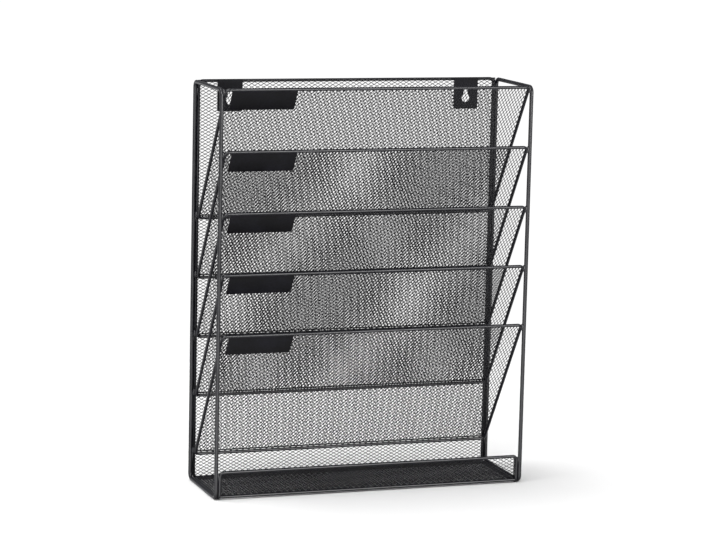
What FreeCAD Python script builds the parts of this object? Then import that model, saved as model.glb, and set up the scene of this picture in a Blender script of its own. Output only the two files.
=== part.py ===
import FreeCAD, Part
import math
import os
import Sketcher

# Wall magazine rack: welded steel wire frames filled with expanded metal.
# +X is to the right seen from the front, +Y points to the wall, +Z is up.
# The origin is the middle of the footprint, on the surface under the rack.

doc = FreeCAD.newDocument("wall_magazine_rack")
sheet = doc.addObject("Spreadsheet::Sheet", "sizes")

WIRE_SIDES = 8

DRIVING = [
    ("overall_width", "325", "outside of the two side frames"),
    ("overall_depth", "98.6", "front of the pocket rims to the wall"),
    ("side_wire", "4", "wire diameter of the side frames"),
    ("loop_wire", "3.2", "wire diameter of the back, pocket and tray loops"),
    ("side_bend", "8", "bend radius of the side frames at the wire's middle"),
    ("loop_bend", "7", "bend radius of the loops at the wire's middle"),
    ("rim_proud", "1.6", "how far the pocket rims stand in front of the uprights"),
    ("pocket_count", "5", "slanted pockets one above the other"),
    ("tier_pitch", "60", "height from one pocket rim to the next"),
    ("pocket_drop", "136", "height from a pocket's rim to its rear wire"),
    ("base_height", "27", "height of the lowest pocket's rear wire"),
    ("lip_height", "29", "height of the tray's front lip"),
    ("weld_gap", "0.05", "clearance where pieces are welded together"),
    ("mesh_thickness", "0.8", "thickness of the expanded metal"),
    ("mesh_cell_long", "62", "long way of a diamond, drawn at ten times its size"),
    ("mesh_cell_short", "33.5", "short way of a diamond, drawn at ten times its size"),
    ("mesh_strand_share", "0.25", "share of a diamond's length and height that its strands take"),
    ("sheet_inset", "1", "from a loop's wire middle in to the sheet's edge"),
    ("sheet_lap", "1.2", "from the back loop's wire middle out to the sheet's edge"),
    ("sheet_margin", "0.8", "solid edge of a sheet at its rounded corners"),
    ("label_width", "66", "label plate along the rim"),
    ("label_height", "24", "label plate down the slope"),
    ("label_thickness", "0.8", "label plate"),
    ("label_inset", "7.4", "from a pocket's left wire middle to its label plate"),
    ("hanger_offset", "35", "from a side frame's wire middle in to the keyhole"),
    ("hanger_thickness", "1", "hanger plate"),
    ("hanger_side", "8.8", "plate beside the keyhole"),
    ("hanger_foot", "6.8", "plate below the keyhole"),
    ("keyhole_radius", "4.2", "round part that passes the screw's head"),
    ("keyhole_drop", "21", "from the plate's top to the middle of the round part"),
    ("keyhole_slot", "4.8", "width of the slot that holds the screw's shank"),
    ("keyhole_rise", "7", "from the round part's middle up to the slot's end middle"),
    ("hanger_lap", "3", "edge of a hanger plate that lies on the back sheet"),
]

DERIVED = [
    ("side_x", "(overall_width - side_wire) / 2"),
    ("rear_y", "(overall_depth - side_wire) / 2"),
    ("front_y", "rim_proud + (side_wire - overall_depth) / 2"),
    ("side_span", "rear_y - front_y"),
    ("side_mid_y", "(rear_y + front_y) / 2"),
    ("top_rim_z", "base_height + pocket_drop + (pocket_count - 1) * tier_pitch"),
    ("overall_height", "top_rim_z + side_wire / 2"),
    ("side_rise", "overall_height - side_wire"),
    ("mid_z", "overall_height / 2"),
    ("loop_x", "side_x - (side_wire + loop_wire) / 2 - weld_gap"),
    ("loop_width", "2 * loop_x"),
    ("back_rise", "overall_height - loop_wire"),
    ("back_sheet_y", "rear_y - loop_wire / 2 - weld_gap - mesh_thickness"),
    ("back_sheet_width", "loop_width + 2 * sheet_lap"),
    ("back_sheet_rise", "back_rise + 2 * sheet_lap"),
    ("back_sheet_corner", "loop_bend + sheet_lap"),
    ("loop_reach", f"loop_wire / 2 / cos(180 deg / {WIRE_SIDES})"),
    ("rim_y", "loop_reach - overall_depth / 2"),
    ("loop_rear_y", "back_sheet_y - weld_gap - loop_reach"),
    ("pocket_run", "loop_rear_y - rim_y"),
    ("pocket_length", "sqrt(pocket_run ^ 2 + pocket_drop ^ 2)"),
    ("slope_cosine", "pocket_drop / pocket_length"),
    ("slope_sine", "pocket_run / pocket_length"),
    ("slope_angle", "atan(pocket_run / pocket_drop)"),
    ("pocket_mid_y", "(rim_y + loop_rear_y) / 2"),
    ("pocket_mid_z", "top_rim_z - pocket_drop / 2"),
    ("sheet_width", "loop_width - 2 * sheet_inset"),
    ("sheet_corner", "loop_bend - sheet_inset"),
    ("pocket_sheet_length", "pocket_length - 2 * sheet_inset"),
    ("pocket_sheet_off", "loop_wire / 2 + weld_gap"),
    ("pocket_sheet_y", "pocket_mid_y + pocket_sheet_off * slope_cosine"),
    ("pocket_sheet_z", "pocket_mid_z + pocket_sheet_off * slope_sine"),
    ("label_x", "label_inset + label_width / 2 - loop_x"),
    ("label_off", "(loop_wire - label_thickness) / 2"),
    ("label_up", "(pocket_length - loop_wire - label_height) / 2 - weld_gap"),
    ("label_y", "pocket_mid_y + label_off * slope_cosine - label_up * slope_sine"),
    ("label_z", "pocket_mid_z + label_off * slope_sine + label_up * slope_cosine"),
    ("floor_wire_z", "loop_wire / 2"),
    ("lip_wire_z", "lip_height - loop_wire / 2"),
    ("floor_sheet_z", "loop_wire + weld_gap"),
    ("lip_sheet_y", "front_y + loop_wire / 2 + weld_gap"),
    ("lip_foot_z", "floor_sheet_z + mesh_thickness + weld_gap"),
    ("lip_sheet_rise", "lip_wire_z - sheet_inset - lip_foot_z"),
    ("lip_sheet_z", "lip_foot_z + lip_sheet_rise / 2"),
    ("floor_sheet_depth", "loop_rear_y - sheet_inset - lip_sheet_y"),
    ("floor_sheet_y", "lip_sheet_y + floor_sheet_depth / 2"),
    ("hanger_x", "side_x - hanger_offset"),
    ("hanger_width", "2 * (keyhole_radius + hanger_side)"),
    ("hanger_height", "keyhole_drop + keyhole_radius + hanger_foot"),
    ("hanger_y", "back_sheet_y - weld_gap - hanger_thickness / 2"),
    ("hanger_z", "overall_height - hanger_height / 2"),
    ("keyhole_z", "hanger_height / 2 - keyhole_drop"),
]

V = FreeCAD.Vector
parts = []


def fill_sheet():
    row = 0
    for alias, value, meaning in DRIVING:
        row += 1
        sheet.set(f"A{row}", alias)
        sheet.set(f"B{row}", value)
        sheet.setAlias(f"B{row}", alias)
        sheet.set(f"C{row}", meaning)
    for alias, formula in DERIVED:
        row += 1
        sheet.set(f"A{row}", alias)
        sheet.set(f"B{row}", f"={formula}")
        sheet.setAlias(f"B{row}", alias)
    doc.recompute()


def size(alias):
    return float(sheet.get(alias))


def bind(obj, path, expression):
    """Ties a property to the sheet; every word of the expression is an alias."""
    obj.setExpression(path, expression)


def place(obj, x, y, z, angle=None):
    """Ties a piece's place to the sheet, turned about X where an angle is given."""
    if angle:
        obj.Placement = FreeCAD.Placement(V(0, 0, 0), FreeCAD.Rotation(V(1, 0, 0), 1))
        bind(obj, "Placement.Rotation.Angle", angle)
    bind(obj, "Placement.Base.x", x)
    bind(obj, "Placement.Base.y", y)
    bind(obj, "Placement.Base.z", z)


def new_body(label):
    body = doc.addObject("PartDesign::Body", label)
    body.Label = label
    parts.append(body)
    return body


def new_sketch(body, role, name):
    plane = next(item for item in body.Origin.OriginFeatures if item.Role == role)
    sketch = body.newObject("Sketcher::SketchObject", f"{body.Label}_{name}")
    sketch.AttachmentSupport = [(plane, "")]
    sketch.MapMode = "FlatFace"
    return sketch


def constrain(sketch, name, expression, *constraint):
    index = sketch.addConstraint(Sketcher.Constraint(*constraint))
    sketch.renameConstraint(index, name)
    bind(sketch, f"Constraints.{name}", expression)


def rounded_outline(sketch, width, height, corner):
    """Rounded rectangle about the sketch's origin, from the middle of its lower side."""
    half_w = size(width) / 2
    half_h = size(height) / 2
    radius = size(corner)
    in_w = half_w - radius
    in_h = half_h - radius

    def line(x0, y0, x1, y1):
        sketch.addGeometry(Part.LineSegment(V(x0, y0, 0), V(x1, y1, 0)), False)

    def arc(x, y, quarter):
        circle = Part.Circle(V(x, y, 0), V(0, 0, 1), radius)
        start = quarter * math.pi / 2
        sketch.addGeometry(Part.ArcOfCircle(circle, start, start + math.pi / 2), False)

    line(0, -half_h, in_w, -half_h)
    arc(in_w, -in_h, 3)
    line(half_w, -in_h, half_w, in_h)
    arc(in_w, in_h, 0)
    line(in_w, half_h, -in_w, half_h)
    arc(-in_w, in_h, 1)
    line(-half_w, in_h, -half_w, -in_h)
    arc(-in_w, -in_h, 2)
    line(-in_w, -half_h, 0, -half_h)
    for edge in range(8):
        sketch.addConstraint(Sketcher.Constraint("Tangent", edge, 2, edge + 1, 1))
    sketch.addConstraint(Sketcher.Constraint("Coincident", 8, 2, 0, 1))
    for edge in (0, 4, 8):
        sketch.addConstraint(Sketcher.Constraint("Horizontal", edge))
    for edge in (2, 6):
        sketch.addConstraint(Sketcher.Constraint("Vertical", edge))
    for edge in (3, 5, 7):
        sketch.addConstraint(Sketcher.Constraint("Equal", 1, edge))
    sketch.addConstraint(Sketcher.Constraint("PointOnObject", 0, 1, -2))
    sketch.addConstraint(Sketcher.Constraint("Symmetric", 1, 3, 5, 3, -1, 1))
    constrain(sketch, "corner", f"sizes.{corner}", "Radius", 1, radius)
    constrain(sketch, "width", f"sizes.{width}", "DistanceX", 6, 1, 2, 2, 2 * half_w)
    constrain(sketch, "height", f"sizes.{height}", "DistanceY", 0, 1, 4, 1, 2 * half_h)


def wire_section(sketch, height, wire):
    """Round wire as an even polygon about a circle, with flats below and beside it."""
    drop = size(height) / 2
    radius = size(wire) / 2
    turn = 2 * math.pi / WIRE_SIDES
    reach = radius / math.cos(turn / 2)
    points = []
    for side in range(WIRE_SIDES):
        angle = (side - 0.5) * turn - math.pi / 2
        points.append(V(reach * math.cos(angle), reach * math.sin(angle) - drop, 0))
    for side in range(WIRE_SIDES):
        line = Part.LineSegment(points[side], points[(side + 1) % WIRE_SIDES])
        sketch.addGeometry(line, False)
    circle = sketch.addGeometry(Part.Circle(V(0, -drop, 0), V(0, 0, 1), radius), True)
    for side in range(WIRE_SIDES):
        following = (side + 1) % WIRE_SIDES
        sketch.addConstraint(Sketcher.Constraint("Coincident", side, 2, following, 1))
        sketch.addConstraint(Sketcher.Constraint("Tangent", side, circle))
    for side in range(1, WIRE_SIDES - 1):
        sketch.addConstraint(Sketcher.Constraint("Equal", 0, side))
    sketch.addConstraint(Sketcher.Constraint("Horizontal", 0))
    sketch.addConstraint(Sketcher.Constraint("PointOnObject", circle, 3, -2))
    constrain(sketch, "drop", f"sizes.{height} / 2", "DistanceY", circle, 3, -1, 1, drop)
    constrain(sketch, "wire", f"sizes.{wire}", "Diameter", circle, 2 * radius)


def wire_loop(label, path_plane, section_plane, width, height, bend, wire):
    """Closed flat loop of wire, swept along a rounded rectangle."""
    body = new_body(label)
    path = new_sketch(body, path_plane, "path")
    rounded_outline(path, width, height, bend)
    section = new_sketch(body, section_plane, "section")
    wire_section(section, height, wire)
    pipe = body.newObject("PartDesign::AdditivePipe", f"{label}_wire")
    pipe.Profile = section
    pipe.Spine = path
    return body


def flat_plate(label, width, height, thickness):
    """Rectangular plate about the body's XZ plane."""
    body = new_body(label)
    outline = new_sketch(body, "XZ_Plane", "outline")
    half_w = size(width) / 2
    half_h = size(height) / 2
    points = [V(-half_w, -half_h, 0), V(half_w, -half_h, 0), V(half_w, half_h, 0), V(-half_w, half_h, 0)]
    for side in range(4):
        outline.addGeometry(Part.LineSegment(points[side], points[(side + 1) % 4]), False)
    for side in range(4):
        outline.addConstraint(Sketcher.Constraint("Coincident", side, 2, (side + 1) % 4, 1))
        outline.addConstraint(Sketcher.Constraint("Vertical" if side % 2 else "Horizontal", side))
    outline.addConstraint(Sketcher.Constraint("Symmetric", 0, 1, 2, 1, -1, 1))
    constrain(outline, "width", f"sizes.{width}", "DistanceX", 0, 1, 0, 2, 2 * half_w)
    constrain(outline, "height", f"sizes.{height}", "DistanceY", 1, 1, 1, 2, 2 * half_h)
    pad = body.newObject("PartDesign::Pad", f"{label}_plate")
    pad.Profile = outline
    pad.Midplane = True
    bind(pad, "Length", f"sizes.{thickness}")
    return body


def keyhole(body):
    """Round hole with a narrower slot above it, cut through a hanger plate."""
    sketch = new_sketch(body, "XZ_Plane", "keyhole")
    radius = size("keyhole_radius")
    slot = size("keyhole_slot") / 2
    middle = size("keyhole_z")
    top = middle + size("keyhole_rise")
    opening = math.asin(slot / radius)
    neck = middle + radius * math.cos(opening)
    circle = Part.Circle(V(0, middle, 0), V(0, 0, 1), radius)
    start = math.pi / 2 + opening
    end = math.pi / 2 - opening + 2 * math.pi
    sketch.addGeometry(Part.ArcOfCircle(circle, start, end), False)
    sketch.addGeometry(Part.LineSegment(V(slot, neck, 0), V(slot, top, 0)), False)
    circle = Part.Circle(V(0, top, 0), V(0, 0, 1), slot)
    sketch.addGeometry(Part.ArcOfCircle(circle, 0, math.pi), False)
    sketch.addGeometry(Part.LineSegment(V(-slot, top, 0), V(-slot, neck, 0)), False)
    sketch.addConstraint(Sketcher.Constraint("Coincident", 0, 2, 1, 1))
    sketch.addConstraint(Sketcher.Constraint("Tangent", 1, 2, 2, 1))
    sketch.addConstraint(Sketcher.Constraint("Tangent", 2, 2, 3, 1))
    sketch.addConstraint(Sketcher.Constraint("Coincident", 3, 2, 0, 1))
    for edge in (1, 3):
        sketch.addConstraint(Sketcher.Constraint("Vertical", edge))
    for edge in (0, 2):
        sketch.addConstraint(Sketcher.Constraint("PointOnObject", edge, 3, -2))
    constrain(sketch, "round", "sizes.keyhole_radius", "Radius", 0, radius)
    constrain(sketch, "slot", "sizes.keyhole_slot / 2", "Radius", 2, slot)
    constrain(sketch, "middle", "sizes.keyhole_z", "DistanceY", -1, 1, 0, 3, middle)
    constrain(sketch, "rise", "sizes.keyhole_rise", "DistanceY", 0, 3, 2, 3, top - middle)
    cut = body.newObject("PartDesign::Pocket", f"{body.Label}_cut")
    cut.Profile = sketch
    cut.Midplane = True
    cut.Type = "ThroughAll"


def rounded_wire(width, height, corner):
    """Rounded rectangle about the origin in the XZ plane."""
    in_w = width / 2 - corner
    in_h = height / 2 - corner
    edges = []
    for quarter in range(4):
        middle = V(in_w if quarter in (0, 3) else -in_w, 0, in_h if quarter < 2 else -in_h)
        start, bow, end = [
            middle + V(corner * math.cos(turn), 0, corner * math.sin(turn))
            for turn in [(quarter + part / 2) * math.pi / 2 for part in range(3)]
        ]
        if edges:
            edges.append(Part.LineSegment(edges[-1].lastVertex().Point, start).toShape())
        edges.append(Part.Arc(start, bow, end).toShape())
    edges.append(Part.LineSegment(edges[-1].lastVertex().Point, edges[0].firstVertex().Point).toShape())
    return Part.Wire(edges)


def polygon(points):
    return Part.makePolygon([V(x, 0, z) for x, z in points + points[:1]])


def mesh_sheet(label, width, height, corner, cell_x, cell_z, windows=()):
    """Expanded metal as one holed face: staggered diamonds, halved along the border."""
    border = corner * (1 - math.sqrt(0.5)) + size("sheet_margin")
    columns = max(1, round((width - 2 * border) / cell_x))
    rows = max(1, round((height - 2 * border) / cell_z))
    step_x = (width / 2 - border) / columns
    step_z = (height / 2 - border) / rows
    open_share = 1 - size("mesh_strand_share")
    open_x = step_x * open_share
    open_z = step_z * open_share
    wires = [rounded_wire(width, height, corner)]
    for i in range(-columns, columns + 1):
        for j in range(-rows, rows + 1):
            if (i + j + columns + rows) % 2 == 0:
                continue
            x = i * step_x
            z = j * step_z
            points = []
            if i > -columns:
                points.append((x - open_x, z))
            if j > -rows:
                points.append((x, z - open_z))
            if i < columns:
                points.append((x + open_x, z))
            if j < rows:
                points.append((x, z + open_z))
            wires.append(polygon(points))
    face = Part.makeFace(wires, "Part::FaceMakerBullseye")
    for window in windows:
        face = face.cut(Part.Face(polygon(window)))
    if len(face.Faces) != 1:
        raise RuntimeError(f"{label} is not one holed face")
    sheet_piece = doc.addObject("Part::Feature", label)
    sheet_piece.Label = label
    sheet_piece.Shape = face.Faces[0].extrude(V(0, size("mesh_thickness"), 0))
    parts.append(sheet_piece)
    return sheet_piece


def bent_path(start, corners, bend):
    """Closed path of straight runs with a quarter bend at each right-angled corner."""
    edges = []
    last = start
    for index, corner in enumerate(corners):
        before = (corners[index - 1] - corner).normalize()
        after = (corners[(index + 1) % len(corners)] - corner).normalize()
        entry = corner + before * bend
        leave = corner + after * bend
        bow = corner + (before + after) * bend * (1 - math.sqrt(0.5))
        edges.append(Part.LineSegment(last, entry).toShape())
        edges.append(Part.Arc(entry, bow, leave).toShape())
        last = leave
    edges.append(Part.LineSegment(last, start).toShape())
    return Part.Wire(edges)


def side_frames():
    for label, x in (("left_side_frame", "-sizes.side_x"), ("right_side_frame", "sizes.side_x")):
        body = wire_loop(label, "YZ_Plane", "XZ_Plane", "side_span", "side_rise", "side_bend", "side_wire")
        place(body, x, "sizes.side_mid_y", "sizes.mid_z")


def back_panel():
    body = wire_loop("back_frame", "XZ_Plane", "YZ_Plane", "loop_width", "back_rise", "loop_bend", "loop_wire")
    place(body, "0", "sizes.rear_y", "sizes.mid_z")
    half_w = size("hanger_width") / 2 - size("hanger_lap")
    top = size("back_sheet_rise") / 2 - size("hanger_lap")
    foot = size("mid_z") - size("hanger_height") + size("hanger_lap")
    windows = []
    for x in (-size("hanger_x"), size("hanger_x")):
        windows.append([(x - half_w, foot), (x + half_w, foot), (x + half_w, top), (x - half_w, top)])
    piece = mesh_sheet("back_mesh", size("back_sheet_width"), size("back_sheet_rise"),
                       size("back_sheet_corner"), size("mesh_cell_long"), size("mesh_cell_short"), windows)
    place(piece, "0", "sizes.back_sheet_y", "sizes.mid_z")


def hanger_plates():
    for label, x in (("left_hanger_plate", "-sizes.hanger_x"), ("right_hanger_plate", "sizes.hanger_x")):
        body = flat_plate(label, "hanger_width", "hanger_height", "hanger_thickness")
        keyhole(body)
        place(body, x, "sizes.hanger_y", "sizes.hanger_z")


def pockets():
    for tier in range(int(size("pocket_count"))):
        name = f"pocket_{tier + 1}"
        drop = f"{tier} * sizes.tier_pitch"
        body = wire_loop(f"{name}_frame", "XZ_Plane", "YZ_Plane",
                         "loop_width", "pocket_length", "loop_bend", "loop_wire")
        place(body, "0", "sizes.pocket_mid_y", f"sizes.pocket_mid_z - {drop}", "sizes.slope_angle")
        piece = mesh_sheet(f"{name}_mesh", size("sheet_width"), size("pocket_sheet_length"),
                           size("sheet_corner"), size("mesh_cell_short"), size("mesh_cell_long"))
        place(piece, "0", "sizes.pocket_sheet_y", f"sizes.pocket_sheet_z - {drop}", "sizes.slope_angle")
        body = flat_plate(f"{name}_label_plate", "label_width", "label_height", "label_thickness")
        place(body, "sizes.label_x", "sizes.label_y", f"sizes.label_z - {drop}", "sizes.slope_angle")


def tray():
    x = size("loop_x")
    rear = size("loop_rear_y")
    front = size("front_y")
    floor = size("floor_wire_z")
    lip = size("lip_wire_z")
    corners = [V(x, rear, floor), V(x, front, floor), V(x, front, lip),
               V(-x, front, lip), V(-x, front, floor), V(-x, rear, floor)]
    path = doc.addObject("Part::Feature", "tray_path")
    path.Shape = bent_path(V(0, rear, floor), corners, size("loop_bend"))
    section = doc.addObject("Part::RegularPolygon", "tray_section")
    section.Polygon = WIRE_SIDES
    flat_down = FreeCAD.Rotation(V(0, 0, 1), 180 / WIRE_SIDES)
    section.Placement = FreeCAD.Placement(V(0, 0, 0), FreeCAD.Rotation(V(0, 1, 0), 90) * flat_down)
    bind(section, "Circumradius", "sizes.loop_reach")
    bind(section, "Placement.Base.y", "sizes.loop_rear_y")
    bind(section, "Placement.Base.z", "sizes.floor_wire_z")
    wire = doc.addObject("Part::Sweep", "tray_frame")
    wire.Label = "tray_frame"
    wire.Sections = [section]
    wire.Spine = (path, [f"Edge{index + 1}" for index in range(len(path.Shape.Edges))])
    wire.Solid = True
    parts.append(wire)
    piece = mesh_sheet("tray_floor_mesh", size("sheet_width"), size("floor_sheet_depth"),
                       size("sheet_corner"), size("mesh_cell_long"), size("mesh_cell_short"))
    place(piece, "0", "sizes.floor_sheet_y", "sizes.floor_sheet_z", "90")
    piece = mesh_sheet("tray_lip_mesh", size("sheet_width"), size("lip_sheet_rise"),
                       size("sheet_corner"), size("mesh_cell_long"), size("mesh_cell_short"))
    place(piece, "0", "sizes.lip_sheet_y", "sizes.lip_sheet_z")


def write_parts():
    doc.recompute()
    for item in doc.Objects:
        if {"Invalid", "Error"} & set(item.State):
            raise RuntimeError(f"{item.Label} failed: {item.State}")
    for item in parts:
        if item.Shape.isNull() or not item.Shape.isValid() or len(item.Shape.Solids) != 1:
            raise RuntimeError(f"{item.Label} is not one valid solid")
    os.makedirs("parts", exist_ok=True)
    for item in parts:
        item.Shape.exportStep(f"parts/{item.Label}.step")


fill_sheet()
side_frames()
back_panel()
hanger_plates()
pockets()
tray()
write_parts()
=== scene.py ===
import math
from typing import NamedTuple

import bmesh
import bpy
from bpy.props import FloatProperty, FloatVectorProperty, IntProperty, PointerProperty
from mathutils import Matrix, Vector


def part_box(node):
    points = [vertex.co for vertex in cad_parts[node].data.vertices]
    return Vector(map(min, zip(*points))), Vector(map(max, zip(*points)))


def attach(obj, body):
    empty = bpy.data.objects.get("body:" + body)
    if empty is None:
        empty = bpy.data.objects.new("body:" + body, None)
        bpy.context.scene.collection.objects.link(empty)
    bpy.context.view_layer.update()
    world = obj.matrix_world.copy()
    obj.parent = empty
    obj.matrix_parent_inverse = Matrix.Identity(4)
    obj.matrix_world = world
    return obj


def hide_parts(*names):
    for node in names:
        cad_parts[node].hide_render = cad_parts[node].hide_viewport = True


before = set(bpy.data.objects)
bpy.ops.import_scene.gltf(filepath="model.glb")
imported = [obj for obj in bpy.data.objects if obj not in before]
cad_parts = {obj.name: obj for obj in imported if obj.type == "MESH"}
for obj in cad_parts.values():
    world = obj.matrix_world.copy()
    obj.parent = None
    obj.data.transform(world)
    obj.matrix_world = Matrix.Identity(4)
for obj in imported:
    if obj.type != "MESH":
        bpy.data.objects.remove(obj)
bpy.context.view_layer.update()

bl_info = {
    "name": "Wall Magazine Rack",
    "version": (1, 0, 0),
    "blender": (4, 5, 0),
    "location": "3D View > Sidebar > Rack",
    "description": "Dresses a welded wire rack with expanded-metal pockets, label plates and a tray",
    "category": "Add Mesh",
}

POCKETS = range(1, 6)
SIDES = ("left", "right")
RIGHT = Vector((1, 0, 0))
FORWARD = Vector((0, -1, 0))
UP = Vector((0, 0, 1))


def length(name, description, default):
    """A size in metres."""
    return FloatProperty(name=name, description=description, default=default, unit="LENGTH", precision=5)


def lengths(name, description, default):
    """Three sizes, or a place, in metres."""
    return FloatVectorProperty(
        name=name, description=description, default=default, subtype="XYZ", unit="LENGTH", precision=5)


def angle(name, description, degrees):
    """An angle, given in degrees."""
    return FloatProperty(name=name, description=description, default=math.radians(degrees), subtype="ANGLE")


def number(name, description, default):
    """A plain number."""
    return FloatProperty(name=name, description=description, default=default)


def power(name, description, default):
    """A lamp's power in watts."""
    return FloatProperty(name=name, description=description, default=default, unit="POWER")


def colour(name, description, default):
    """A linear colour."""
    return FloatVectorProperty(
        name=name, description=description, default=default, subtype="COLOR", size=3, min=0, max=1)


class RackWires(bpy.types.PropertyGroup):
    """Wires of the frames and loops."""
    side_bend: length("Side bend", "Bend radius of the side frames at the wire's middle", 0.0058)
    loop_bend: length("Loop bend", "Bend radius of the loops at the wire's middle", 0.0042)
    loop_wire: length("Loop wire", "Diameter of the loops' wire", 0.0032)
    pocket_run: length("Pocket run", "Depth from a pocket's rim to its rear wire", 0.090636)
    pocket_drop: length("Pocket drop", "Height from a pocket's rim to its rear wire", 0.136)
    sides: IntProperty(name="Sides", description="Faces around a wire", default=16, min=6)
    steps: IntProperty(name="Bend steps", description="Faces along a quarter bend", default=8, min=2)


class RackNet(bpy.types.PropertyGroup):
    """Expanded metal of the back, the pockets and the tray."""
    cell_long: length("Long way", "Long way of a diamond", 0.0063)
    cell_short: length("Short way", "Short way of a diamond", 0.0034)
    strand: length("Strand", "Width of a strand in the sheet's plane", 0.0006)
    turn: length("Strand turn", "How far a strand's edges stand out of the sheet's plane", 0.00024)
    ridge: length("Strand ridge", "Half the thickness of a strand", 0.0002)
    hem: length("Hem", "Solid edge left round the back and lip sheets", 0.001)
    rim_hem: length("Rim hem", "Solid edge of a pocket sheet at its rim and foot", 0.0015)
    side_lap: length("Side lap", "How far a pocket sheet's cut sides lie out over its loop's wires", 0.0006)
    floor_hem: length("Floor hem", "Solid edge left round the tray's floor sheet", 0.0003)
    floor_sink: length("Floor sink", "How far the tray's floor sheet lies down between its wires", 0.0012)
    sheet_inset: length("Sheet inset", "From a loop's wire middle in to the sheet's edge", 0.001)
    window_lap: length("Window lap", "Edge of a hanger plate that lies on the back sheet", 0.003)


class RackPlates(bpy.types.PropertyGroup):
    """Label plates and keyhole plates."""
    label_width: length("Label width", "Label plate along the rim", 0.066)
    label_height: length("Label height", "Label plate down the slope", 0.024)
    label_thickness: length("Label thickness", "Label plate", 0.0008)
    corner: length("Corner", "Rounded corners of the plates", 0.0012)
    edge: length("Edge", "Softened edges of the plates", 0.00018)
    hole_radius: length("Keyhole", "Radius of the round part of a keyhole", 0.0042)
    hole_drop: length("Keyhole drop", "From a plate's top to the middle of the round part", 0.021)
    slot_radius: length("Slot", "Half the width of the keyhole's slot", 0.0024)
    slot_rise: length("Slot rise", "From the round part's middle to the slot's end middle", 0.007)


class RackWelds(bpy.types.PropertyGroup):
    """Weld beads on the side frames, each by its width, depth and height."""
    rim: lengths("Rim bead", "Between a pocket's rim and the front upright", (0.0042, 0.0034, 0.0052))
    foot: lengths("Foot bead", "Between a pocket's foot and the rear upright", (0.0036, 0.0046, 0.0050))
    back: lengths("Back bead", "Between the back loop and the rear upright", (0.0030, 0.0032, 0.0070))
    floor: lengths("Floor bead", "Between the tray and a frame's lower wire", (0.0028, 0.0070, 0.0024))
    lip: lengths("Lip bead", "Between the tray's lip and the front upright", (0.0032, 0.0030, 0.0060))


class RackFinish(bpy.types.PropertyGroup):
    """Powder coat."""
    wire: colour("Wire coat", "Coat of the wires", (0.007, 0.007, 0.010))
    net: colour("Net coat", "Coat of the expanded metal", (0.005, 0.005, 0.007))
    plate: colour("Plate coat", "Coat of the plates", (0.002, 0.0018, 0.0032))
    bloom: colour("Bloom", "Paler patches of the coat", (0.012, 0.012, 0.019))


class RackStage(bpy.types.PropertyGroup):
    """Floor, lamps and camera."""
    azimuth: angle("Azimuth", "Camera round the rack", -19.40)
    elevation: angle("Elevation", "Camera above the horizon", 8.94)
    roll: angle("Roll", "Camera about its own axis", 1.306)
    distance: length("Distance", "Camera to its target", 2.75)
    target: lengths("Target", "Point in the picture's middle", (-0.002, 0.0008, 0.2165))
    focal: number("Lens", "Focal length in millimetres", 138.02)
    sensor: number("Sensor", "Width of the sensor in millimetres", 36.0)
    floor: colour("Floor", "Colour of the floor", (0.92, 0.92, 0.92))
    floor_reach: length("Floor reach", "Half the side of the floor", 0.7)
    horizon: number("Horizon", "Brightness of the studio at eye level", 1.05)
    ceiling: number("Ceiling", "Brightness of the studio overhead", 0.25)
    key: power("Key lamp", "Power of the main lamp", 46.0)
    fill: power("Fill lamp", "Power of the lamp at the side", 33.0)
    top: power("Top lamp", "Power of the lamp overhead", 62.0)
    front: power("Front lamp", "Power of the lamp that shows only as shine", 32.0)


GROUPS = {
    "rack_wires": RackWires,
    "rack_net": RackNet,
    "rack_plates": RackPlates,
    "rack_welds": RackWelds,
    "rack_finish": RackFinish,
    "rack_stage": RackStage,
}


class Value:
    """A shader socket that takes part in Python sums."""

    def __init__(self, nodes, socket):
        self.nodes = nodes
        self.socket = socket

    def combine(self, operation, first, second):
        return self.nodes.add("ShaderNodeMath", {"operation": operation}, {0: first, 1: second})

    def __add__(self, other):
        return self.combine("ADD", self, other)

    def __radd__(self, other):
        return self.combine("ADD", other, self)

    def __sub__(self, other):
        return self.combine("SUBTRACT", self, other)

    def __rsub__(self, other):
        return self.combine("SUBTRACT", other, self)

    def __mul__(self, other):
        return self.combine("MULTIPLY", self, other)

    def __rmul__(self, other):
        return self.combine("MULTIPLY", other, self)


class Nodes:
    """The nodes of a material or of the studio, added one call at a time."""

    def __init__(self, owner):
        self.owner = owner
        owner.use_nodes = True
        self.tree = owner.node_tree
        self.tree.nodes.clear()

    def add(self, kind, settings=None, sockets=None, output=0):
        made = self.tree.nodes.new(kind)
        for name, value in (settings or {}).items():
            setattr(made, name, value)
        for name, value in (sockets or {}).items():
            if isinstance(value, Value):
                self.tree.links.new(value.socket, made.inputs[name])
            else:
                made.inputs[name].default_value = value
        return Value(self, made.outputs[output]) if made.outputs else None

    def mix(self, share, first, second):
        """Goes from the first colour to the second; the sockets are the Mix node's A, B and Result."""
        return self.add("ShaderNodeMix", {"data_type": "RGBA"}, {"Factor": share, 6: first, 7: second}, 2)

    def noise(self, place, scale, detail):
        return self.add("ShaderNodeTexNoise", {}, {"Vector": place, "Scale": scale, "Detail": detail}, "Fac")

    def spread(self, value, start, end, most=1.0):
        """Rises from nothing to most as the value goes from start to end."""
        return self.add("ShaderNodeMapRange", {"clamp": True},
                        {"Value": value, "From Min": start, "From Max": end, "To Max": most})


class Coat(NamedTuple):
    """What sets one powder coat apart; grains count to the metre and are as deep as grain_depth."""
    slot: str
    roughness: float
    shine: float
    streak: float
    grain: float
    grain_depth: float


COATS = {
    "wire": Coat("wire_coat", roughness=0.32, shine=0.25, streak=0.75, grain=1500.0, grain_depth=0.00008),
    "net": Coat("mesh_coat", roughness=0.40, shine=0.25, streak=0.4, grain=2600.0, grain_depth=0.00004),
    "plate": Coat("plate_coat", roughness=0.40, shine=0.16, streak=0.0, grain=1300.0, grain_depth=0.00006),
}

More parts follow.
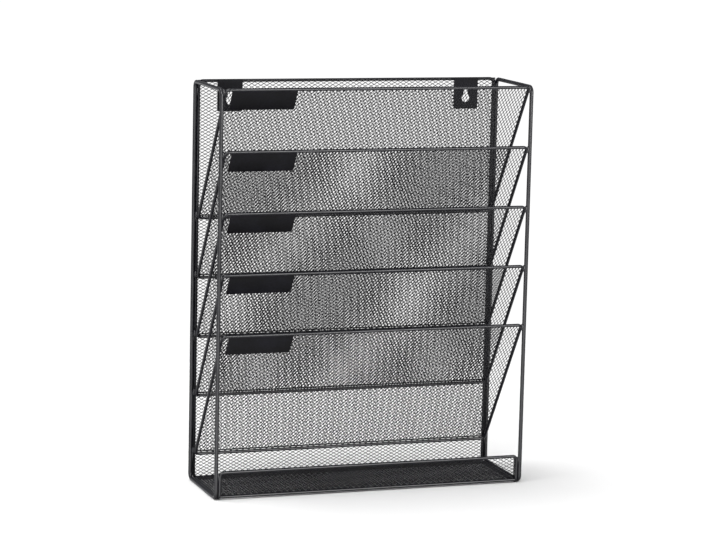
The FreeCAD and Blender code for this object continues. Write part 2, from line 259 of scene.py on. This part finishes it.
# What all three coats share: clouds to the metre, then shares and strengths.
CLOUD_SCALE = 38.0
CLOUD_SHARE = 0.6
SPECK_SCALE_SHARE = 0.35
BLOOM_START = 0.42
BLOOM_END = 0.68
BLOOM_MOST = 0.55
NOISE_MIDDLE = 0.5
CLOUD_GLOSS = 0.16
PEEL_GLOSS = 0.10
PEEL_STRENGTH = 0.35
STREAK_EVEN_SHARE = 0.75
STREAK_CLOUD_SHARE = 0.5
STREAK_FALL = 3.6
LACQUER_ROUGHNESS = 0.2
LACQUER_INDEX = 1.9


def powder_coat(kind):
    """Black powder coat: fine orange peel, cloudy gloss, a faint paler bloom and a streak of shine."""
    coat = COATS[kind]
    finish = bpy.context.scene.rack_finish
    nodes = Nodes(bpy.data.materials.new(f"{kind}_powder_coat"))
    place = nodes.add("ShaderNodeTexCoord", output="Object")
    peel = nodes.noise(place, coat.grain, detail=2.0)
    cloud = nodes.noise(place, CLOUD_SCALE, detail=3.0)
    speck = nodes.noise(place, coat.grain * SPECK_SCALE_SHARE, detail=4.0)
    patches = cloud * CLOUD_SHARE + speck * (1 - CLOUD_SHARE)
    bloom = nodes.spread(patches, BLOOM_START, BLOOM_END, BLOOM_MOST)
    bump = nodes.add("ShaderNodeBump", {},
                     {"Strength": PEEL_STRENGTH, "Distance": coat.grain_depth, "Height": peel})
    sockets = {
        "Base Color": nodes.mix(bloom, (*getattr(finish, kind), 1), (*finish.bloom, 1)),
        "Roughness": (coat.roughness + CLOUD_GLOSS * (cloud - NOISE_MIDDLE)
                      + PEEL_GLOSS * (peel - NOISE_MIDDLE)),
        "Normal": bump,
        "Specular IOR Level": coat.shine,
    }
    if coat.streak:
        facing = nodes.add("ShaderNodeLayerWeight", {}, {"Normal": bump}, "Facing")
        most = coat.streak * (STREAK_EVEN_SHARE + STREAK_CLOUD_SHARE * cloud)
        sockets["Coat Weight"] = nodes.add("ShaderNodeMath", {"operation": "SUBTRACT", "use_clamp": True},
                                           {0: most, 1: STREAK_FALL * facing})
        sockets["Coat Roughness"] = LACQUER_ROUGHNESS
        sockets["Coat IOR"] = LACQUER_INDEX
    shader = nodes.add("ShaderNodeBsdfPrincipled", {}, sockets)
    nodes.add("ShaderNodeOutputMaterial", {}, {"Surface": shader})
    return nodes.owner


def piece(bm, name, kind, *replaced, crease=math.pi):
    """Turns a bmesh into a finished piece of the rack, smooth up to the crease angle."""
    mesh = bpy.data.meshes.new(name)
    bm.to_mesh(mesh)
    bm.free()
    mesh.materials.append(bpy.data.materials.get(f"{kind}_powder_coat") or powder_coat(kind))
    mesh.shade_smooth()
    mesh.set_sharp_from_angle(angle=crease)
    obj = bpy.data.objects.new(name, mesh)
    bpy.context.scene.collection.objects.link(obj)
    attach(obj, "root")
    if replaced:
        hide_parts(*replaced)


def node_box(node):
    """Middle and size of a node."""
    low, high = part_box(node)
    return (low + high) / 2, high - low


def of_kind(geometry, kind):
    return [item for item in geometry if isinstance(item, kind)]


def everything(bm):
    return bm.verts[:] + bm.edges[:] + bm.faces[:]


# Points of a wire that lie nearer than this share of its diameter count as one place.
WIRE_MERGE_SHARE = 0.001
WIRE_CREASE = math.radians(60)


def run_wire(bm, ring, way):
    """Draws a ring of edges out straight and gives the new edges."""
    made = bmesh.ops.extrude_edge_only(bm, edges=ring)["geom"]
    bmesh.ops.translate(bm, vec=way, verts=of_kind(made, bmesh.types.BMVert))
    return of_kind(made, bmesh.types.BMEdge)


def end_ring(edges, plane_point, plane_normal, reach):
    """Edges of a wire that lie in one plane across it."""
    return [edge for edge in edges
            if all(abs((vert.co - plane_point).dot(plane_normal)) < reach for vert in edge.verts)]


def bent_wire(corners, bend, wire):
    """Closed round wire through right-angled corners, a quarter spin at each."""
    wires = bpy.context.scene.rack_wires
    reach = wire * WIRE_MERGE_SHARE
    bm = bmesh.new()
    start = (corners[-1] + corners[0]) / 2
    here = start
    way = (corners[0] - corners[-1]).normalized()
    turn = way.to_track_quat("Z", "Y").to_matrix().to_4x4()
    made = bmesh.ops.create_circle(
        bm, cap_ends=False, segments=wires.sides, radius=wire / 2, matrix=Matrix.Translation(start) @ turn)
    ring = list({edge for vert in made["verts"] for edge in vert.link_edges})
    for index, corner in enumerate(corners):
        following = (corners[(index + 1) % len(corners)] - corner).normalized()
        entry = corner - way * bend
        ring = end_ring(run_wire(bm, ring, entry - here), entry, way, reach)
        verts = list({vert for edge in ring for vert in edge.verts})
        made = bmesh.ops.spin(
            bm, geom=verts + ring, cent=entry + following * bend, axis=way.cross(following),
            dvec=(0, 0, 0), angle=math.pi / 2, steps=wires.steps, use_merge=False, use_duplicate=False)
        ring = of_kind(made["geom_last"], bmesh.types.BMEdge)
        here = corner + following * bend
        way = following
    run_wire(bm, ring, start - here)
    bmesh.ops.remove_doubles(bm, verts=bm.verts[:], dist=reach)
    bmesh.ops.recalc_face_normals(bm, faces=bm.faces[:])
    return bm


def loop(middle, across, along, bend, wire):
    """Flat closed loop about its middle; across and along reach to its wire's middle."""
    corners = [middle - across - along, middle + across - along,
               middle + across + along, middle - across + along]
    return bent_wire(corners, bend, wire)


def straight_wire(bm, middle, width, wire):
    """Adds a straight round wire along X."""
    bmesh.ops.create_cone(
        bm, cap_ends=True, segments=bpy.context.scene.rack_wires.sides, radius1=wire / 2, radius2=wire / 2,
        depth=width, matrix=Matrix.Translation(middle) @ Matrix.Rotation(math.pi / 2, 4, "Y"))


class Slope(NamedTuple):
    """A pocket's lean: the way up it, the way out of its upper side, and its length between its wires."""
    up: Vector
    out: Vector
    length: float


def slope():
    wires = bpy.context.scene.rack_wires
    up = Vector((0, -wires.pocket_run, wires.pocket_drop)).normalized()
    return Slope(up, Vector((0, up.z, -up.y)), math.hypot(wires.pocket_run, wires.pocket_drop))


# Points of a net that lie nearer than this share of a strand's width count as one.
NET_MERGE_SHARE = 0.05
# Where a sheet's middle falls in its diamonds, as a share of half a diamond.
NET_PHASE_SHARE = 0.37
# Points this near to a cut, in metres, lie on it.
CUT_REACH = 1e-8


def diamond(net):
    """One diamond of strands about the origin, its opening's two blunt points turned out of the plane."""
    bm = bmesh.new()
    bmesh.ops.create_circle(bm, cap_ends=True, segments=4, radius=1)
    bmesh.ops.scale(bm, vec=(net.cell_long / 2, net.cell_short / 2, 1), verts=bm.verts[:])
    rim = bm.verts[:]
    opening = bm.faces[:]
    bmesh.ops.inset_region(
        bm, faces=opening, thickness=net.strand / 2, use_even_offset=True, use_boundary=True)
    bmesh.ops.translate(bm, vec=(0, 0, net.ridge), verts=rim)
    for vert in opening[0].verts:
        if abs(vert.co.y) > net.strand * NET_MERGE_SHARE:
            bmesh.ops.translate(bm, vec=(0, 0, math.copysign(net.turn, vert.co.y)), verts=[vert])
    bmesh.ops.delete(bm, geom=opening, context="FACES")
    underside = bmesh.ops.duplicate(bm, geom=everything(bm))
    lower_rim = [underside["vert_map"][vert] for vert in rim]
    bmesh.ops.translate(bm, vec=(0, 0, -2 * net.ridge), verts=lower_rim)
    bmesh.ops.reverse_faces(bm, faces=of_kind(underside["geom"], bmesh.types.BMFace))
    bmesh.ops.remove_doubles(bm, verts=bm.verts[:], dist=net.strand * NET_MERGE_SHARE)
    return bm


def repeat(bm, step, count):
    """Adds count copies of the whole mesh, each a step further."""
    bmesh.ops.spin(bm, geom=everything(bm), cent=(0, 0, 0), axis=UP, dvec=step, angle=0, steps=count,
                   use_merge=False, use_duplicate=True)


def fill_cuts(bm):
    """Closes the ends of cut strands."""
    cuts = [edge for edge in bm.edges if edge.is_boundary]
    bmesh.ops.holes_fill(bm, edges=cuts, sides=0)


def trim(bm, width, height):
    """Cuts a net about the origin to its size, closing each cut before the next."""
    for side in (RIGHT, -RIGHT, -FORWARD, FORWARD):
        reach = (width if side.x else height) / 2
        bmesh.ops.bisect_plane(bm, geom=everything(bm), dist=CUT_REACH, plane_co=side * reach,
                               plane_no=side, clear_outer=True)
        fill_cuts(bm)


def cut_window(bm, low, high, margin):
    """Takes a rectangle out of a net; the margin holds every strand that crosses its edge."""
    def faces_within(extra):
        found = []
        for face in bm.faces:
            middle = face.calc_center_median()
            if (low.x - extra < middle.x < high.x + extra
                    and low.y - extra < middle.y < high.y + extra):
                found.append(face)
        return found

    for side in (RIGHT, -FORWARD):
        for corner in (low, high):
            near = faces_within(margin)
            edges = list({edge for face in near for edge in face.edges})
            verts = list({vert for face in near for vert in face.verts})
            bmesh.ops.bisect_plane(
                bm, geom=verts + edges + near, dist=CUT_REACH, plane_co=corner, plane_no=side)
    bmesh.ops.delete(bm, geom=faces_within(0), context="FACES")
    fill_cuts(bm)


def add_hems(bm, width, height, end_hem, side_hem, thickness):
    """Lays solid strips along a sheet's ends and sides; a hem of no width leaves that edge open."""
    side_length = width - end_hem
    for x, y, hem_width, hem_height in (
            (width - end_hem, 0, end_hem, height),
            (end_hem - width, 0, end_hem, height),
            (0, height - side_hem, side_length, side_hem),
            (0, side_hem - height, side_length, side_hem)):
        if hem_width and hem_height:
            made = bmesh.ops.create_cube(bm, size=1)["verts"]
            bmesh.ops.scale(bm, vec=(hem_width, hem_height, thickness), verts=made)
            bmesh.ops.translate(bm, vec=(x / 2, y / 2, 0), verts=made)


def net_sheet(width, height, end_hem, side_hem, windows=()):
    """Flat expanded metal about the origin, its long way along X, with turned strands and solid hems."""
    net = bpy.context.scene.rack_net
    columns = math.ceil(width / net.cell_long) + 1
    rows = math.ceil(height / net.cell_short) + 1
    half_cell = Vector((net.cell_long / 2, net.cell_short / 2, 0))
    bm = diamond(net)
    repeat(bm, half_cell, 1)
    repeat(bm, Vector((net.cell_long, 0, 0)), columns - 1)
    repeat(bm, Vector((0, net.cell_short, 0)), rows - 1)
    bmesh.ops.remove_doubles(bm, verts=bm.verts[:], dist=net.strand * NET_MERGE_SHARE)
    shift = Vector((columns * net.cell_long, rows * net.cell_short, 0)) / -2 + half_cell * NET_PHASE_SHARE
    bmesh.ops.translate(bm, vec=shift, verts=bm.verts[:])
    trim(bm, width, height)
    for low, high in windows:
        cut_window(bm, low, high, net.cell_long)
    add_hems(bm, width, height, end_hem, side_hem, 2 * net.ridge)
    bmesh.ops.recalc_face_normals(bm, faces=bm.faces[:])
    return bm


def lay_sheet(bm, middle, long_way, normal):
    """Lays a flat sheet in place, its X along long_way and its Z along normal."""
    turn = Matrix((long_way, normal.cross(long_way), normal)).transposed().to_4x4()
    bmesh.ops.transform(bm, matrix=Matrix.Translation(middle) @ turn, verts=bm.verts[:])
    return bm


# Faces along the plates' round outlines, and across their softened edges.
CORNER_STEPS = 5
SLOT_STEPS = 14
HOLE_STEPS = 40
EDGE_STEPS = 2
# Edges of a plate sharper than the first are softened, and than the second shaded as an edge.
PLATE_SHARP = math.radians(60)
PLATE_CREASE = math.radians(15)
# Points of a plate's outline that lie nearer than this share of its softened edge count as one.
PLATE_MERGE_SHARE = 0.05


def arc(bm, vert, middle, turn, steps):
    """Draws an arc from a point in the XY plane and gives its last point."""
    made = bmesh.ops.spin(bm, geom=[vert], cent=middle, axis=UP, dvec=(0, 0, 0), angle=turn,
                          steps=steps, use_merge=False, use_duplicate=False)
    return of_kind(made["geom_last"], bmesh.types.BMVert)[0]


def line_to(bm, vert, place):
    """Draws a line from a point and gives its last point."""
    made = bmesh.ops.extrude_vert_indiv(bm, verts=[vert])["verts"][0]
    made.co = place
    return made


def rounded_rectangle(bm, width, height, corner):
    """Closed outline about the origin in the XY plane."""
    x = width / 2 - corner
    y = height / 2 - corner
    here = bm.verts.new((x + corner, -y, 0))
    for middle, out in (((x, y, 0), (corner, 0, 0)), ((-x, y, 0), (0, corner, 0)),
                        ((-x, -y, 0), (-corner, 0, 0)), ((x, -y, 0), (0, -corner, 0))):
        here = line_to(bm, here, Vector(middle) + Vector(out))
        here = arc(bm, here, middle, math.pi / 2, CORNER_STEPS)


def keyhole(bm, plates, height):
    """Closed outline of a round hole with a narrower slot above it."""
    middle = height / 2 - plates.hole_drop
    top = middle + plates.slot_rise
    opening = math.asin(plates.slot_radius / plates.hole_radius)
    neck = middle + plates.hole_radius * math.cos(opening)
    here = bm.verts.new((plates.slot_radius, neck, 0))
    here = line_to(bm, here, (plates.slot_radius, top, 0))
    here = arc(bm, here, (0, top, 0), math.pi, SLOT_STEPS)
    here = line_to(bm, here, (-plates.slot_radius, neck, 0))
    arc(bm, here, (0, middle, 0), 2 * math.pi - 2 * opening, HOLE_STEPS)


def plate(width, height, thickness, cut=None):
    """Flat plate about the origin in the XY plane with rounded corners and softened edges."""
    plates = bpy.context.scene.rack_plates
    bm = bmesh.new()
    rounded_rectangle(bm, width, height, plates.corner)
    if cut:
        cut(bm, plates, height)
    bmesh.ops.remove_doubles(bm, verts=bm.verts[:], dist=plates.edge * PLATE_MERGE_SHARE)
    bmesh.ops.triangle_fill(bm, edges=bm.edges[:], use_beauty=True, use_dissolve=False, normal=UP)
    bmesh.ops.translate(bm, vec=(0, 0, -thickness / 2), verts=bm.verts[:])
    made = bmesh.ops.extrude_face_region(bm, geom=bm.faces[:])["geom"]
    bmesh.ops.translate(bm, vec=(0, 0, thickness), verts=of_kind(made, bmesh.types.BMVert))
    bmesh.ops.recalc_face_normals(bm, faces=bm.faces[:])
    sharp = [edge for edge in bm.edges if edge.calc_face_angle(0) > PLATE_SHARP]
    bmesh.ops.bevel(bm, geom=sharp, offset=plates.edge, offset_type="OFFSET", affect="EDGES",
                    segments=EDGE_STEPS, profile=0.5, material=-1, clamp_overlap=True)
    return bm


class RACK_OT_side_frames(bpy.types.Operator):
    """Makes the two closed side frames"""
    bl_idname = "rack.side_frames"
    bl_label = "Side frames"

    def execute(self, context):
        for side in SIDES:
            node = f"{side}_side_frame"
            middle, size = node_box(node)
            wire = size.x
            across = Vector((0, (size.y - wire) / 2, 0))
            along = Vector((0, 0, (size.z - wire) / 2))
            bm = loop(middle, across, along, context.scene.rack_wires.side_bend, wire)
            piece(bm, f"{side}_side_wire", "wire", node)
        return {"FINISHED"}


class RACK_OT_back_panel(bpy.types.Operator):
    """Makes the back loop and its sheet of expanded metal"""
    bl_idname = "rack.back_panel"
    bl_label = "Back panel"

    def execute(self, context):
        wires = context.scene.rack_wires
        net = context.scene.rack_net
        middle, size = node_box("back_frame")
        across = Vector(((size.x - wires.loop_wire) / 2, 0, 0))
        along = Vector((0, 0, (size.z - wires.loop_wire) / 2))
        bm = loop(middle, across, along, wires.loop_bend, wires.loop_wire)
        piece(bm, "back_loop_wire", "wire", "back_frame")
        middle, size = node_box("back_mesh")
        windows = []
        for side in SIDES:
            low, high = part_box(f"{side}_hanger_plate")
            windows.append((Vector((low.x + net.window_lap, low.z + net.window_lap - middle.z, 0)),
                            Vector((high.x - net.window_lap, high.z - net.window_lap - middle.z, 0))))
        bm = net_sheet(size.x, size.z, net.hem, net.hem, windows)
        lay_sheet(bm, middle, RIGHT, FORWARD)
        piece(bm, "back_sheet", "net", "back_mesh")
        return {"FINISHED"}


class RACK_OT_hanger_plates(bpy.types.Operator):
    """Makes the two keyhole plates at the top of the back"""
    bl_idname = "rack.hanger_plates"
    bl_label = "Hanger plates"

    def execute(self, context):
        for side in SIDES:
            node = f"{side}_hanger_plate"
            middle, size = node_box(node)
            bm = plate(size.x, size.z, size.y, keyhole)
            lay_sheet(bm, middle, RIGHT, FORWARD)
            piece(bm, f"{side}_keyhole_plate", "plate", node, crease=PLATE_CREASE)
        return {"FINISHED"}


class RACK_OT_pocket_frames(bpy.types.Operator):
    """Makes the leaning loops of the pockets"""
    bl_idname = "rack.pocket_frames"
    bl_label = "Pocket frames"

    def execute(self, context):
        wires = context.scene.rack_wires
        lean = slope()
        along = lean.up * lean.length / 2
        for tier in POCKETS:
            node = f"pocket_{tier}_frame"
            middle, size = node_box(node)
            across = Vector(((size.x - wires.loop_wire) / 2, 0, 0))
            bm = loop(middle, across, along, wires.loop_bend, wires.loop_wire)
            piece(bm, f"pocket_{tier}_loop_wire", "wire", node)
        return {"FINISHED"}


class RACK_OT_pocket_sheets(bpy.types.Operator):
    """Makes the pockets' sheets of expanded metal, their long way up the slope and their sides cut open"""
    bl_idname = "rack.pocket_sheets"
    bl_label = "Pocket sheets"

    def execute(self, context):
        net = context.scene.rack_net
        lean = slope()
        rise = lean.length - 2 * net.sheet_inset
        width = node_box("pocket_1_mesh")[1].x + 2 * net.side_lap
        flat = net_sheet(rise, width, net.rim_hem, 0)
        for tier in POCKETS:
            node = f"pocket_{tier}_mesh"
            bm = lay_sheet(flat.copy(), node_box(node)[0], lean.up, lean.out)
            piece(bm, f"pocket_{tier}_sheet", "net", node)
        flat.free()
        return {"FINISHED"}


class RACK_OT_label_plates(bpy.types.Operator):
    """Makes the label plate under each rim"""
    bl_idname = "rack.label_plates"
    bl_label = "Label plates"

    def execute(self, context):
        plates = context.scene.rack_plates
        lean = slope()
        for tier in POCKETS:
            node = f"pocket_{tier}_label_plate"
            bm = plate(plates.label_height, plates.label_width, plates.label_thickness)
            lay_sheet(bm, node_box(node)[0], lean.up, lean.out)
            piece(bm, f"pocket_{tier}_label", "plate", node, crease=PLATE_CREASE)
        return {"FINISHED"}


class RACK_OT_tray(bpy.types.Operator):
    """Makes the tray's bent wire, the straight wire along its front foot, and its floor and lip sheets"""
    bl_idname = "rack.tray"
    bl_label = "Tray"

    def execute(self, context):
        wires = context.scene.rack_wires
        net = context.scene.rack_net
        radius = wires.loop_wire / 2
        low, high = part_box("tray_frame")
        x = high.x - radius
        rear = high.y - radius
        front = low.y + radius
        foot = low.z + radius
        lip = high.z - radius
        corners = [Vector((x, rear, foot)), Vector((x, front, foot)), Vector((x, front, lip)),
                   Vector((-x, front, lip)), Vector((-x, front, foot)), Vector((-x, rear, foot))]
        bm = bent_wire(corners, wires.loop_bend, wires.loop_wire)
        # The straight wire ends in the middle of each front bend, this far in and up from its corner.
        nook = wires.loop_bend * (1 - math.cos(math.pi / 4))
        straight_wire(bm, (0, front + nook, foot + nook), 2 * x, wires.loop_wire)
        piece(bm, "tray_wire", "wire", "tray_frame", crease=WIRE_CREASE)
        middle, size = node_box("tray_floor_mesh")
        middle.z -= net.floor_sink
        bm = net_sheet(size.x, size.y, net.floor_hem, net.floor_hem)
        lay_sheet(bm, middle, -RIGHT, UP)
        piece(bm, "tray_floor_sheet", "net", "tray_floor_mesh")
        low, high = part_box("tray_lip_mesh")
        low.z = foot + radius / 2
        size = high - low
        bm = net_sheet(size.x, size.z, net.hem, net.hem)
        lay_sheet(bm, (low + high) / 2, -RIGHT, FORWARD)
        piece(bm, "tray_lip_sheet", "net", "tray_lip_mesh")
        return {"FINISHED"}


# Each lump of a bead as a share of the bead's size, and its shift as a share of the bead's height.
BEAD_LUMP_SHARES = ((1.0, 0.0), (0.86, 0.24), (0.8, -0.27))
BEAD_ROUND_STEPS = 12
BEAD_RISE_STEPS = 8
# Places of the beads: in bends down from a rim or the lip, up a side frame, and out from the tray's middle.
RIM_BEAD_SHARE = 0.72
LIP_BEAD_SHARE = 1.4
BACK_BEAD_SHARES = (0.06, 0.36, 0.66, 0.97)
FLOOR_BEAD_SHARE = 0.6


def weld_bead(bm, place, size):
    """Lump of weld about a joint, with two smaller lumps run into it."""
    for share, shift in BEAD_LUMP_SHARES:
        made = bmesh.ops.create_uvsphere(
            bm, u_segments=BEAD_ROUND_STEPS, v_segments=BEAD_RISE_STEPS, radius=share / 2)
        bmesh.ops.scale(bm, vec=size, verts=made["verts"])
        bmesh.ops.translate(bm, vec=Vector(place) + Vector((0, 0, shift * size[2])), verts=made["verts"])


class RACK_OT_weld_beads(bpy.types.Operator):
    """Makes the weld beads that join the loops to the side frames"""
    bl_idname = "rack.weld_beads"
    bl_label = "Weld beads"

    def execute(self, context):
        wires = context.scene.rack_wires
        welds = context.scene.rack_welds
        bend = wires.loop_bend
        lean = slope()
        along = lean.up * lean.length / 2
        tray_low, tray_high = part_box("tray_frame")
        for side in SIDES:
            low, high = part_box(f"{side}_side_frame")
            inner = high.x if side == "left" else low.x
            front = low.y + (high.x - low.x) / 2
            rear = high.y - (high.x - low.x) / 2
            bm = bmesh.new()
            for tier in POCKETS:
                middle = node_box(f"pocket_{tier}_frame")[0]
                rim = middle + along - lean.up * bend * RIM_BEAD_SHARE
                weld_bead(bm, (inner, (rim.y + front) / 2, rim.z), welds.rim)
                foot = middle - along + lean.up * bend
                weld_bead(bm, (inner, (foot.y + rear) / 2, foot.z), welds.foot)
            for share in BACK_BEAD_SHARES:
                weld_bead(bm, (inner, rear, low.z + share * (high.z - low.z)), welds.back)
            for upright in (front, rear):
                floor = (inner, upright * FLOOR_BEAD_SHARE, tray_low.z + wires.loop_wire / 2)
                weld_bead(bm, floor, welds.floor)
            weld_bead(bm, (inner, front, tray_high.z - LIP_BEAD_SHARE * bend), welds.lip)
            piece(bm, f"{side}_weld_beads", "wire")
        return {"FINISHED"}


class Lamp(NamedTuple):
    """Where an area lamp stands, what it faces and its width and height, in metres."""
    place: tuple
    aim: tuple
    size: tuple
    lights_paint: bool = True


LAMPS = {
    "key": Lamp(place=(-1.5, -1.5, 2.2), aim=(0, -0.2, 0), size=(2.0, 2.0)),
    "fill": Lamp(place=(2.2, -0.4, 1.7), aim=(0, 0, 0), size=(1.4, 2.0)),
    "top": Lamp(place=(-0.9, 0.5, 2.6), aim=(0, 0.1, 0), size=(2.0, 2.0)),
    "front": Lamp(place=(1.05, -2.7, 0.9), aim=(0, 0, 0.22), size=(1.5, 1.2), lights_paint=False),
}

# The studio's glow turns from horizon to ceiling between these heights of a look's direction.
GLOW_START = -0.05
GLOW_END = 0.08
# The floor's faint clouds, to the metre, and the share of the floor's colour that they keep.
FLOOR_CLOUD_SCALE = 3.0
FLOOR_SHADE_SHARE = 0.985
FLOOR_ROUGHNESS = 0.6
FLOOR_SHINE = 0.2


def studio_glow(scene, stage):
    """Even pale light from below and round the rack, and a darker ceiling."""
    nodes = Nodes(bpy.data.worlds.new("studio"))
    way = nodes.add("ShaderNodeTexCoord", output="Generated")
    rise = nodes.add("ShaderNodeSeparateXYZ", {}, {"Vector": way}, "Z")
    glow = nodes.spread(rise, GLOW_START, GLOW_END)
    horizon = (stage.horizon, stage.horizon, stage.horizon, 1)
    ceiling = (stage.ceiling, stage.ceiling, stage.ceiling, 1)
    light = nodes.add("ShaderNodeBackground", {}, {"Color": nodes.mix(glow, horizon, ceiling)})
    nodes.add("ShaderNodeOutputWorld", {}, {"Surface": light})
    scene.world = nodes.owner


def studio_floor(scene, stage):
    """Plain pale floor."""
    bm = bmesh.new()
    bmesh.ops.create_grid(bm, x_segments=1, y_segments=1, size=stage.floor_reach)
    mesh = bpy.data.meshes.new("floor")
    bm.to_mesh(mesh)
    bm.free()
    nodes = Nodes(bpy.data.materials.new("floor_paint"))
    place = nodes.add("ShaderNodeTexCoord", output="Object")
    cloud = nodes.noise(place, FLOOR_CLOUD_SCALE, detail=2.0)
    shade = tuple(FLOOR_SHADE_SHARE * value for value in stage.floor)
    shader = nodes.add("ShaderNodeBsdfPrincipled", {},
                       {"Base Color": nodes.mix(cloud, (*stage.floor, 1), (*shade, 1)),
                        "Roughness": FLOOR_ROUGHNESS, "Specular IOR Level": FLOOR_SHINE})
    nodes.add("ShaderNodeOutputMaterial", {}, {"Surface": shader})
    mesh.materials.append(nodes.owner)
    floor = bpy.data.objects.new("floor", mesh)
    scene.collection.objects.link(floor)


def studio_lamp(scene, name, lamp, watts):
    """Area lamp turned to what it faces."""
    light = bpy.data.lights.new(name, "AREA")
    light.shape = "RECTANGLE"
    light.size, light.size_y = lamp.size
    light.energy = watts
    obj = bpy.data.objects.new(name, light)
    obj.location = lamp.place
    obj.rotation_euler = (Vector(lamp.aim) - Vector(lamp.place)).to_track_quat("-Z", "Y").to_euler()
    obj.visible_diffuse = lamp.lights_paint
    scene.collection.objects.link(obj)


def studio_camera(scene, stage):
    """Camera on its target, turned round the rack, raised and rolled."""
    camera = bpy.data.cameras.new("camera")
    camera.lens = stage.focal
    camera.sensor_width = stage.sensor
    level = math.cos(stage.elevation)
    back = Vector((math.sin(stage.azimuth) * level, -math.cos(stage.azimuth) * level,
                   math.sin(stage.elevation)))
    right = Vector((math.cos(stage.azimuth), math.sin(stage.azimuth), 0))
    turn = Matrix((right, back.cross(right), back)).transposed().to_4x4()
    place = Matrix.Translation(stage.target + back * stage.distance)
    obj = bpy.data.objects.new("camera", camera)
    obj.matrix_world = place @ turn @ Matrix.Rotation(stage.roll, 4, "Z")
    scene.collection.objects.link(obj)
    scene.camera = obj


class RACK_OT_stage(bpy.types.Operator):
    """Makes the studio's glow, floor, lamps and camera"""
    bl_idname = "rack.stage"
    bl_label = "Stage"

    def execute(self, context):
        scene = context.scene
        stage = scene.rack_stage
        scene.view_settings.view_transform = "Standard"
        studio_glow(scene, stage)
        studio_floor(scene, stage)
        for name, lamp in LAMPS.items():
            studio_lamp(scene, f"{name}_light", lamp, getattr(stage, name))
        studio_camera(scene, stage)
        return {"FINISHED"}


OPERATORS = (
    RACK_OT_stage,
    RACK_OT_side_frames,
    RACK_OT_back_panel,
    RACK_OT_hanger_plates,
    RACK_OT_pocket_frames,
    RACK_OT_pocket_sheets,
    RACK_OT_label_plates,
    RACK_OT_tray,
    RACK_OT_weld_beads,
)


class VIEW3D_PT_rack(bpy.types.Panel):
    """Lists the rack's pieces and their sizes"""
    bl_label = "Wall Magazine Rack"
    bl_space_type = "VIEW_3D"
    bl_region_type = "UI"
    bl_category = "Rack"

    def draw(self, context):
        for operator in OPERATORS:
            self.layout.operator(operator.bl_idname)
        for name, group in GROUPS.items():
            box = self.layout.box()
            for key in group.__annotations__:
                box.prop(getattr(context.scene, name), key)


def register():
    for name, group in GROUPS.items():
        bpy.utils.register_class(group)
        setattr(bpy.types.Scene, name, PointerProperty(type=group))
    for operator in OPERATORS:
        bpy.utils.register_class(operator)
    bpy.utils.register_class(VIEW3D_PT_rack)


def unregister():
    bpy.utils.unregister_class(VIEW3D_PT_rack)
    for operator in reversed(OPERATORS):
        bpy.utils.unregister_class(operator)
    for name, group in reversed(GROUPS.items()):
        delattr(bpy.types.Scene, name)
        bpy.utils.unregister_class(group)


def main():
    register()
    for operator in OPERATORS:
        group, name = operator.bl_idname.split(".")
        getattr(getattr(bpy.ops, group), name)()


if __name__ == "__main__":
    main()
